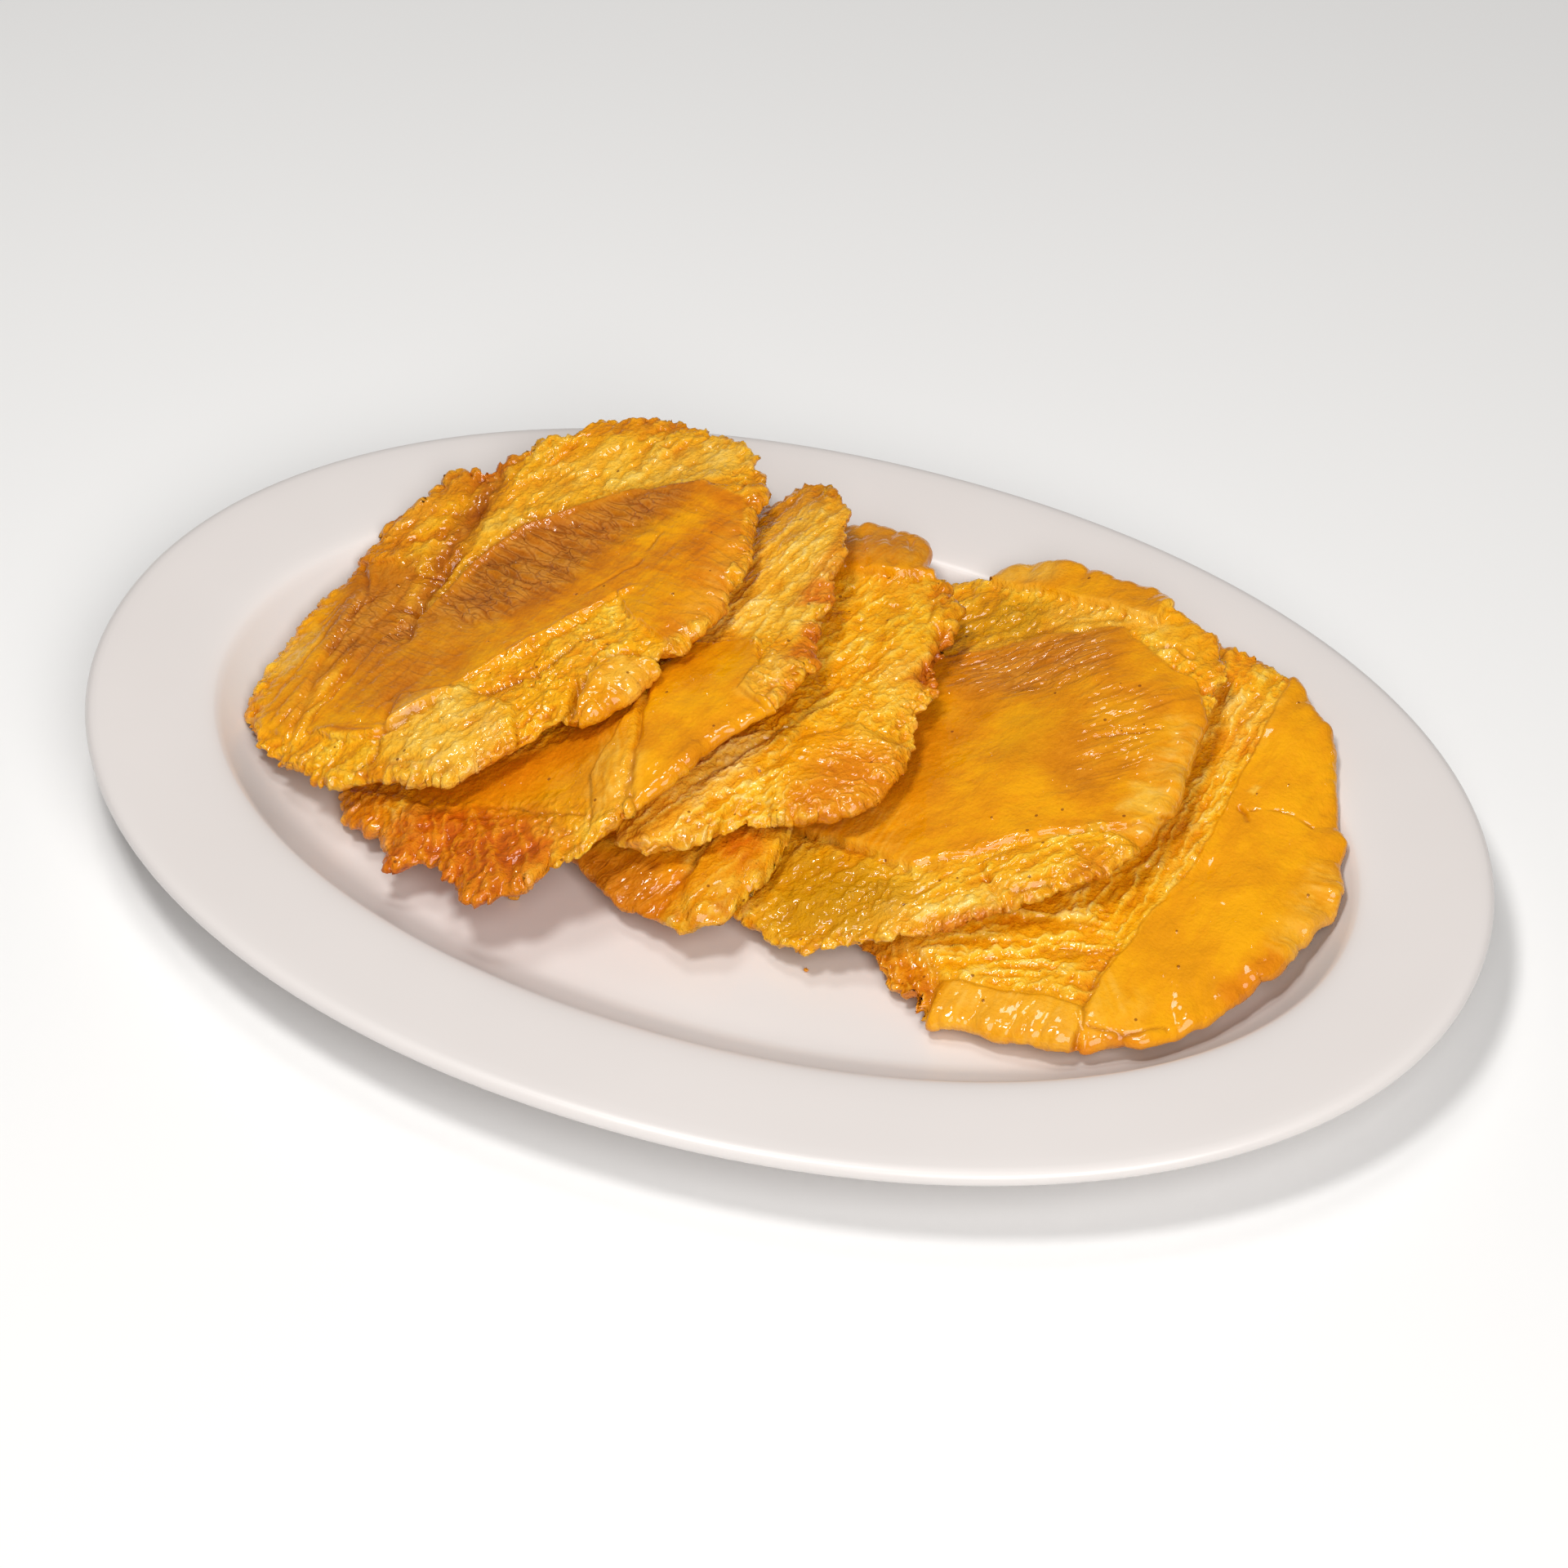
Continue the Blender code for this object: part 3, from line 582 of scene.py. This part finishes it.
def solid_heights(solid, middle, reach_of, count):
    """The solid's mean plane, and how far its upper and lower sides stand off it on a fine grid."""
    _, _, share, angle = disc_grid(COARSE)
    radius = reach_of(angle) * np.minimum(share, READ_SHARE)
    x, y = middle[0] + radius * np.cos(angle), middle[1] + radius * np.sin(angle)
    tree = BVHTree.FromPolygons([v.co / MM for v in solid.data.vertices],
                                [p.vertices[:] for p in solid.data.polygons])
    upper, lower = np.zeros(x.shape), np.zeros(x.shape)
    for i in np.ndindex(x.shape):
        upper[i] = tree.ray_cast(Vector((x[i], y[i], 300)), Vector((0, 0, -1)))[0].z
        lower[i] = tree.ray_cast(Vector((x[i], y[i], -300)), Vector((0, 0, 1)))[0].z
    rows = np.stack([x.ravel(), y.ravel(), np.ones(x.size)], axis=1)
    plane = np.linalg.lstsq(rows, ((upper + lower) / 2).ravel(), rcond=None)[0]
    level = plane[0] * x + plane[1] * y + plane[2]
    to_fine = carry(COARSE, count)
    return plane, to_fine @ (upper - level) @ to_fine.T, to_fine @ (lower - level) @ to_fine.T


def pick(grid, a, b):
    """Values of a grid over -1 to 1 at given places, between its points."""
    last = grid.shape[0] - 1
    i, j = (np.clip((t + 1) / 2 * last, 0, last - 1e-6) for t in (a, b))
    i0, j0 = i.astype(int), j.astype(int)
    s, t = i - i0, j - j0
    return (grid[i0, j0] * (1 - s) * (1 - t) + grid[i0 + 1, j0] * s * (1 - t)
            + grid[i0, j0 + 1] * (1 - s) * t + grid[i0 + 1, j0 + 1] * s * t)


# ---- faces and pieces

def strip(above, below):
    """Faces between two closed rows of vertices."""
    nexts = [*range(1, len(above)), 0]
    return [(below[s], below[t], above[t], above[s]) for s, t in enumerate(nexts)]


def fan(row, pole):
    """Faces between a closed row of vertices and a pole."""
    return [(row[s - 1], row[s], pole) for s in range(len(row))]


def ball_faces(first, rows, turns):
    """Faces of rows of vertices that are followed by an upper and a lower pole."""
    rings = [range(first + r * turns, first + (r + 1) * turns) for r in range(rows)]
    faces = [face for above, below in zip(rings, rings[1:]) for face in strip(above, below)]
    pole = first + rows * turns
    return faces + fan(rings[0], pole) + fan(rings[-1][::-1], pole + 1)


def grid_loop(count):
    """Indices of the rim of a square grid, in order round the disc."""
    n = count - 1
    return ([i * count for i in range(n)] + [n * count + j for j in range(n)]
            + [i * count + n for i in range(n, 0, -1)] + [j for j in range(n, 0, -1)])


def patty_faces(count):
    """Faces of a patty's upper grid, of the rings round its rim and underside, and of its lower pole."""
    corners = (i * count + j for i in range(count - 1) for j in range(count - 1))
    faces = [(k, k + count, k + count + 1, k + 1) for k in corners]
    above, first = grid_loop(count), count * count
    for _ in RIM_STEPS + UNDER_STEPS:
        below = range(first, first + len(above))
        faces += strip(above, below)
        above, first = below, first + len(above)
    return faces + fan(above[::-1], first)


def finish_piece(mesh, material, node=None, slot=None):
    """Make the piece, fixed to the one body, standing for a CAD node where one is named."""
    mesh.materials.append(material)
    mesh.polygons.foreach_set("use_smooth", [True] * len(mesh.polygons))
    mesh.update()
    piece = bpy.data.objects.new(mesh.name, mesh)
    bpy.context.scene.collection.objects.link(piece)
    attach(piece, "root")
    if node:
        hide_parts(node)


def write_masks(mesh, masks):
    for kind, values in masks.items():
        layer = mesh.attributes.new(kind, "FLOAT", "POINT")
        layer.data.foreach_set("value", np.asarray(values, np.float32))


# ---- patties

def sweep(count):
    """Place on the grid, share of the reach and angle of a patty's points, from its upper side over
    the rim to the pole below, and whether they lie past the upper side."""
    a, b, share, angle = (g.ravel() for g in disc_grid(count))
    loop = grid_loop(count)
    rows = [(a, b, share, angle)]
    rows += [(a[loop], b[loop], np.full(len(loop), step), angle[loop]) for step in RIM_STEPS]
    rows += [(a[loop] * step, b[loop] * step, np.full(len(loop), step), angle[loop])
             for step in UNDER_STEPS]
    rows.append((np.zeros(1),) * 4)
    a, b, share, angle = (np.concatenate(part) for part in zip(*rows))
    return a, b, share, angle, np.arange(len(a)) >= count * count


def section(share, below, reach):
    """Distance from the middle, way round the rim's bend (0 above to pi below), and whether a point
    lies on the underside."""
    travel = np.minimum(share, 1) * (reach - ROUND + ROUND * math.pi / 2)
    bend = np.clip((travel - reach + ROUND) / ROUND, 0, math.pi / 2)
    past = below & (share > 1)
    under = below & ~past
    bend[past] = math.pi / 2 * share[past]
    bend[under] = math.pi
    rounded = reach - ROUND + ROUND * np.sin(bend)
    return np.where(under, share * (reach - ROUND), np.where(bend > 0, rounded, travel)), bend, under


def torn_rim(rim_plan, name, marks, seed):
    """How far the torn rim stands out, how far it is ruffled up and what share of its thickness is lost."""
    ring = np.concatenate([rim_plan, np.full((len(rim_plan), 1), RIM_LEVEL)], axis=1)
    crumbly = smooth_step(0.5 + 0.9 * noise(ring / 8, seed + 37)) + spots(rim_plan, RAGGED[name])
    notch = smooth_step((noise(ring / 4, seed + 32) - 0.35) / 0.3)
    tear = terraced(1.6 * noise(ring / 5, seed + 39), 0.12)
    flaky = (0.8 * (tear + 0.5) + 0.9 * noise(ring / 2.6, seed + 33) + 0.6 * noise(ring / 1.2, seed + 38)
             - 1.6 * notch)
    out = 1.2 * noise(ring / 11, seed + 30) + 0.8 * noise(ring / 5.5, seed + 31) + crumbly * flaky
    for kind, corners, _, strength, *_ in marks:
        if kind == "skin":
            out *= 1 - 0.85 * strength * inside(0.985 * rim_plan, corners, 2)
    out -= 0.3 + spots(rim_plan, BITES[name])
    ruffle = 1.3 * noise(ring / 6.5, seed + 34) + 0.5 * noise(ring / 3, seed + 35)
    return out, ruffle, np.clip(0.35 + 0.35 * noise(ring / 7, seed + 36), 0, 0.7)


def make_patty(name, middle, count, grain, pleats, warmth, marks):
    """One patty: the solid's shape with a rounded, torn rim, and the fine surface laid on it."""
    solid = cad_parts["tostone_" + name]
    seed = 1000 * int(name)
    reach_of = outline(solid, middle)
    plane, upper, lower = solid_heights(solid, middle, reach_of, count)
    a, b, share, angle, below = sweep(count)
    reach = reach_of(angle)
    outward = np.stack([np.cos(angle), np.sin(angle)], axis=1)
    torn, ruffle, thin = torn_rim(reach[:, None] * outward, name, marks, seed)
    radius, bend, under = section(share, below, reach)
    near_rim = np.clip((radius / reach - 0.8) / 0.2, 0, 1) ** 2
    radius = radius + torn * near_rim
    plan = radius[:, None] * outward

    up, down = pick(upper, a, b), pick(lower, a, b)
    x, y = middle[0] + plan[:, 0], middle[1] + plan[:, 1]
    level = plane[0] * x + plane[1] * y + plane[2]
    half = (up - down) / 2 * (1 - thin * near_rim)
    mid = (up + down) / 2 + ruffle * near_rim
    resting = FLOOR + half + REST_GAP - level
    mid = resting + 0.5 * np.logaddexp(0, (mid - resting) / 0.5)
    off = mid + half * np.sign(np.cos(bend)) * abs(np.cos(bend)) ** 0.8
    base = np.stack([x, y, level + off], axis=1)

    mesh = bpy.data.meshes.new("patty_" + name)
    mesh.from_pydata((base * MM).tolist(), [], patty_faces(count))
    normals = np.zeros(len(base) * 3, np.float32)
    mesh.vertex_normals.foreach_get("vector", normals)
    local = np.stack([plan[:, 0], plan[:, 1], off], axis=1)
    rim_gap = np.where(under, reach - radius, np.maximum(0, reach - radius))
    height, masks = surface(local, rim_gap, grain, marks, seed)
    height = np.where(below, 0.5 * height - 0.3 * masks["rim"], height)
    shown = base + normals.reshape(-1, 3) * height[:, None]
    mesh.vertices.foreach_set("co", (shown * MM).astype(np.float32).ravel())
    mesh.update()
    write_masks(mesh, masks)
    finish_piece(mesh, fried_crust("patty_%s_crust" % name, warmth, pleats), "tostone_" + name,
                 "tostone_%s_crust" % name)


# ---- platter and crumbs

def oval(inset):
    """Points of the platter's outline, drawn in by an inset."""
    t = np.linspace(0, 2 * math.pi, PLATE_SIDES, endpoint=False)
    c, s = np.cos(t), np.sin(t)
    x = (HALF_LENGTH - inset) * np.sign(c) * abs(c) ** (2 / SQUARENESS)
    y = (HALF_WIDTH - inset) * np.sign(s) * abs(s) ** (2 / SQUARENESS)
    return x, y


def make_platter():
    """The white platter, swept along its oval."""
    wall = [(WELL_INSET - WALL_BREADTH * t, FLOOR + WALL_HEIGHT * t ** 1.8 - 0.5 * t ** 6)
            for t in np.linspace(0, 1, WALL_STEPS)]
    profile = [*WELL, *wall, *RIM, *UNDERSIDE]
    verts = [(x * MM, y * MM, height * MM) for inset, height in profile for x, y in zip(*oval(inset))]
    verts += [(0, 0, profile[0][1] * MM), (0, 0, profile[-1][1] * MM)]
    mesh = bpy.data.meshes.new("platter")
    mesh.from_pydata(verts, [], ball_faces(0, len(profile), PLATE_SIDES))
    finish_piece(mesh, glaze("platter_glaze"), "plate", "glazed_white")


def make_crumbs():
    """Small irregular closed lumps lying on the well's floor."""
    rings = CRUMB_ROWS - 2
    polar = np.repeat(np.linspace(0, math.pi, CRUMB_ROWS)[1:-1], CRUMB_TURNS)
    around = np.tile(np.linspace(0, 2 * math.pi, CRUMB_TURNS, endpoint=False), rings)
    ball = np.stack([np.sin(polar) * np.cos(around), np.sin(polar) * np.sin(around), np.cos(polar)], axis=1)
    ball = np.concatenate([ball, [(0, 0, 1), (0, 0, -1)]])
    verts, faces, toasted = [], [], []
    for number, (x, y, size, browning) in enumerate(CRUMBS):
        faces += ball_faces(len(verts), rings, CRUMB_TURNS)
        lump = ball * (1 + 0.35 * noise(1.3 * ball + 5 * number, 90))[:, None] * size * CRUMB_SHAPE
        inset = HALF_WIDTH - math.hypot(x * HALF_WIDTH / HALF_LENGTH, y)
        ground = FLOOR + max(0, WELL_INSET - inset) * WALL_SLOPE
        lump += (x, y, ground - lump[:, 2].min())
        verts += (lump * MM).tolist()
        toasted += [browning] * len(lump)
    mesh = bpy.data.meshes.new("crumbs")
    mesh.from_pydata(verts, [], faces)
    write_masks(mesh, {"crisp": toasted, "relief": [0.6] * len(verts)})
    finish_piece(mesh, fried_crust("crumbs_crust", 0.5, 60))


# ---- materials

class Value:
    """A node's output, for sums and products with numbers and with other outputs."""

    def __init__(self, socket):
        self.socket = socket

    def maths(self, operation, first, second):
        return wire(self.socket.id_data, "Math", {0: first, 1: second}, operation=operation)

    def __add__(self, other):
        return self.maths("ADD", self, other)

    def __mul__(self, other):
        return self.maths("MULTIPLY", self, other)

    def __sub__(self, other):
        return self.maths("SUBTRACT", self, other)

    def __rsub__(self, other):
        return self.maths("SUBTRACT", other, self)

    def over(self, limit):
        return self.maths("GREATER_THAN", self, limit)

    def clamped(self):
        self.socket.node.use_clamp = True
        return self


def wire(tree, kind, inputs=None, output=0, **settings):
    """Add a node, set its properties, feed its inputs with values or outputs, and give one output."""
    node = tree.nodes.new("ShaderNode" + kind)
    for key, value in settings.items():
        setattr(node, key, value)
    for key, value in (inputs or {}).items():
        if isinstance(value, Value):
            tree.links.new(value.socket, node.inputs[key])
        else:
            node.inputs[key].default_value = value
    return Value(node.outputs[output])


def blank_material(name):
    """A material, its node tree and its shader."""
    mat = bpy.data.materials.new(name)
    mat.use_nodes = True
    return mat, mat.node_tree, mat.node_tree.nodes["Principled BSDF"]


def texture(tree, where, scale=1, detail=2, roughness=0.5, output=0):
    return wire(tree, "TexNoise", {"Vector": where, "Scale": scale, "Detail": detail,
                                   "Roughness": roughness}, output)


def mix(tree, factor, first, second, blend="MIX"):
    first, second = ((*c, 1) if isinstance(c, tuple) else c for c in (first, second))
    return wire(tree, "Mix", {0: factor, 6: first, 7: second}, 2, data_type="RGBA", blend_type=blend)


def ramp(tree, factor, stops):
    colour = wire(tree, "ValToRGB", {"Fac": factor})
    elements = colour.socket.node.color_ramp.elements
    while len(elements) < len(stops):
        elements.new(0.5)
    for element, (position, value) in zip(elements, stops):
        element.position = position
        element.color = (*value, 1)
    return colour


def crust_fields(tree, pleats):
    """The painted masks and the textures that a crust's colour and relief share."""
    field = {kind: wire(tree, "Attribute", None, "Fac", attribute_name=kind) for kind in MASKS}
    where = wire(tree, "TexCoord", None, "Object")

    def drawn_out(long, wide):
        """Object coordinates stretched along the pleats; lengths in millimetres."""
        return wire(tree, "Mapping", {"Vector": where, "Rotation": (0, 0, math.radians(pleats)),
                                      "Scale": (long * MM, wide * MM, wide * MM)}, vector_type="TEXTURE")

    for name, *grain in (("broad", 75, 3, 0.55), ("medium", 300, 4, 0.55), ("small", 600, 2, 0.6),
                         ("tiny", 1300, 2, 0.6)):
        field[name] = texture(tree, where, *grain)
    ridges = {"Vector": drawn_out(12, 2.4), "Scale": 1, "Detail": 1.5, "Distortion": 0.4, "Offset": 1}
    field["pleat"] = wire(tree, "TexNoise", ridges, noise_type="RIDGED_MULTIFRACTAL")
    field["brushed"] = texture(tree, drawn_out(30, 3), detail=3, roughness=0.6)
    field["drops"] = texture(tree, drawn_out(2.8, 1.6), detail=0)

    # A net of shrunken creases, open along the pleats, also cut into the relief as grooves; their cores get
    # painted shade, and a paler lip on both sides is a painted highlight.
    crooked = wire(tree, "VectorMath", {0: texture(tree, where, 240, output="Color"), 1: (0.7, 0.7, 0.7),
                                        2: drawn_out(13, 2.1)}, operation="MULTIPLY_ADD")
    gap = wire(tree, "TexVoronoi", {"Vector": crooked, "Scale": 1}, feature="DISTANCE_TO_EDGE")
    crease = (1 - gap * 9).clamped()
    lip = ((1 - gap * 4).clamped() - crease).clamped()
    crinkled = field["wrinkled"] * (field["brown"] * field["brown"])
    field["crease"], field["lip"] = crinkled * crease, crinkled * lip

    # Specks and blisters, in the middles of some cells.
    cells = wire(tree, "TexVoronoi", {"Vector": where, "Scale": 210})
    chance = {"Color": Value(cells.socket.node.outputs["Color"])}
    in_some = wire(tree, "SeparateColor", chance, 0).over(0.68)
    in_others = wire(tree, "SeparateColor", chance, 1).over(0.5)
    field["speck"] = cells.maths("LESS_THAN", cells, 0.085) * in_some
    field["blister"] = (0.17 - cells).clamped() * (in_others * 7)
    return field


def crust_colour(tree, field, warmth):
    """Flesh and skin, with the painted patches, painted shade and light from the relief, the creases with
    painted shade in them and painted highlights on their lips, the toasted rim, painted shade and specks on
    them.
    """
    broad, medium, tiny, relief = (field[k] for k in ("broad", "medium", "tiny", "relief"))
    # Painted light and shade: the relief makes the hollows darker and the crests paler, under the random
    # tone of the noise.
    uneven = relief * 0.5 + (medium * 0.34 + tiny * 0.16)
    patchy = medium * 0.9 + 0.52
    flesh = mix(tree, 1, ramp(tree, uneven, FLESH), ramp(tree, broad, TAN), "MULTIPLY")
    # Streaks of the skin, with a little painted shade and light from the relief.
    streaks_and_relief_shade = (broad * 0.52 + tiny * 0.14) + (field["brushed"] * 0.2 + relief * 0.14)
    skin = mix(tree, 0.6 * (1 - warmth), ramp(tree, streaks_and_relief_shade, SKIN), YOUNG_SKIN)
    colour = mix(tree, field["skin"], flesh, skin)
    for kind, layer in (("green", mix(tree, field["small"], *GREENS)), ("pale", ramp(tree, uneven, PALE)),
                        ("brown", ramp(tree, uneven, BROWN))):
        colour = mix(tree, (field[kind] * patchy).clamped(), colour, layer)
    # Painted highlight on the lips of the creases.
    colour = mix(tree, field["lip"] * 0.55, colour, LIP_HIGHLIGHT)
    # Painted shade in the cores of the creases.
    colour = mix(tree, field["crease"] * 0.5, colour, CREASE_SHADE)
    colour = mix(tree, (field["crisp"] * patchy).clamped(), colour, ramp(tree, uneven, CRISP))
    colour = mix(tree, field["rim"] * ((medium - 0.42).clamped() * 3), colour, TOASTED)
    # Painted shade: darkens the feet of raised areas, cracks, wrinkle valleys, pleat grooves and the edges
    # of torn sheets.
    colour = mix(tree, field["painted_shade"] * 0.8, colour, SHADE)
    return mix(tree, field["speck"] * 0.75, colour, SPECK)


def crust_relief(tree, field):
    """Fine bumps of the surface, and those of the oil on it."""
    skin, wrinkled = field["skin"], field["wrinkled"]
    bare = 1 - skin * 0.6
    creased = wrinkled * (field["pleat"] * 0.3) + field["crease"] * -0.4
    lively = (wrinkled + (1 - skin)).clamped()
    oily = (lively * 0.7 + 0.3) * (field["drops"] * 0.9)
    heights = creased + bare * (field["small"] + field["tiny"]), creased + oily + skin * field["blister"]
    return [wire(tree, "Bump", {"Height": height, "Distance": CRUST_BUMP}) for height in heights]


def fried_crust(name, warmth, pleats):
    """Golden fried plantain: rough flesh, smooth skin, browned and crisp places, oil on top."""
    mat, tree, shader = blank_material(name)
    field = crust_fields(tree, pleats)
    normal, coat_normal = crust_relief(tree, field)
    for key, value in (("Base Color", crust_colour(tree, field, warmth)),
                       ("Roughness", field["small"] * 0.3 + 0.42), ("Normal", normal),
                       ("Coat Normal", coat_normal)):
        tree.links.new(value.socket, shader.inputs[key])
    shader.inputs["Specular IOR Level"].default_value = 0.06
    shader.inputs["Coat Weight"].default_value = 0.8
    shader.inputs["Coat Roughness"].default_value = 0.07
    return mat


def glaze(name):
    """White glazed stoneware, very slightly warm and uneven."""
    mat, tree, shader = blank_material(name)
    where = wire(tree, "TexCoord", None, "Object")
    colour = ramp(tree, texture(tree, where, 14, 3), GLAZE)
    fine = texture(tree, where, 120)
    bump = wire(tree, "Bump", {"Height": fine, "Strength": 0.05, "Distance": GLAZE_BUMP})
    tree.links.new(colour.socket, shader.inputs["Base Color"])
    tree.links.new(bump.socket, shader.inputs["Normal"])
    shader.inputs["Roughness"].default_value = 0.42
    shader.inputs["Coat Weight"].default_value = 0.5
    shader.inputs["Coat Roughness"].default_value = 0.22
    return mat


def floor_paint(name):
    """Plain pale floor."""
    mat, tree, shader = blank_material(name)
    where = wire(tree, "TexCoord", None, "Object")
    colour = ramp(tree, texture(tree, where, 3), PAINT)
    tree.links.new(colour.socket, shader.inputs["Base Color"])
    shader.inputs["Roughness"].default_value = 0.8
    return mat


# ---- studio

def add_at(name, data, azimuth, elevation, distance):
    """Stand a camera or light off the target, looking at it."""
    a, e = math.radians(azimuth), math.radians(elevation)
    back = Vector((math.sin(a) * math.cos(e), -math.cos(a) * math.cos(e), math.sin(e)))
    thing = bpy.data.objects.new(name, data)
    thing.location = TARGET + distance * back
    thing.rotation_euler = back.to_track_quat("Z", "Y").to_euler()
    bpy.context.scene.collection.objects.link(thing)
    return thing


def add_camera():
    data = bpy.data.cameras.new("camera")
    data.lens, data.sensor_width = LENS, SENSOR
    bpy.context.scene.camera = add_at("camera", data, AZIMUTH, ELEVATION, DISTANCE)


def add_floor():
    mesh = bpy.data.meshes.new("floor")
    mesh.from_pydata([(-4, -4, 0), (4, -4, 0), (4, 4, 0), (-4, 4, 0)], [], [(0, 1, 2, 3)])
    mesh.materials.append(floor_paint("floor_paint"))
    floor = bpy.data.objects.new("floor", mesh)
    bpy.context.scene.collection.objects.link(floor)


def add_lights():
    for name, azimuth, elevation, distance, size, watts in LIGHTS:
        data = bpy.data.lights.new(name, "AREA")
        data.shape, data.size, data.energy, data.color = "DISK", size, watts, LIGHT_COLOUR
        add_at(name, data, azimuth, elevation, distance)
    world = bpy.data.worlds.new("world")
    world.use_nodes = True
    background = world.node_tree.nodes["Background"]
    background.inputs["Color"].default_value = SKY_COLOUR
    background.inputs["Strength"].default_value = SKY_STRENGTH
    bpy.context.scene.world = world
    bpy.context.scene.view_settings.view_transform = "Standard"


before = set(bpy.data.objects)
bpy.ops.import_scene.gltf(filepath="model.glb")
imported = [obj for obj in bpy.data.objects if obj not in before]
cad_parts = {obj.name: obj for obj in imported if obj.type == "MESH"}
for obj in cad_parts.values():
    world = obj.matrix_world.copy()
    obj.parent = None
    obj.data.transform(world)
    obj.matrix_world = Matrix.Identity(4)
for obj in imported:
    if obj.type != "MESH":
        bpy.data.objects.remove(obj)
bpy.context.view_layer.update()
for patty in PATTIES:
    make_patty(*patty)
make_platter()
make_crumbs()
add_floor()
add_lights()
add_camera()
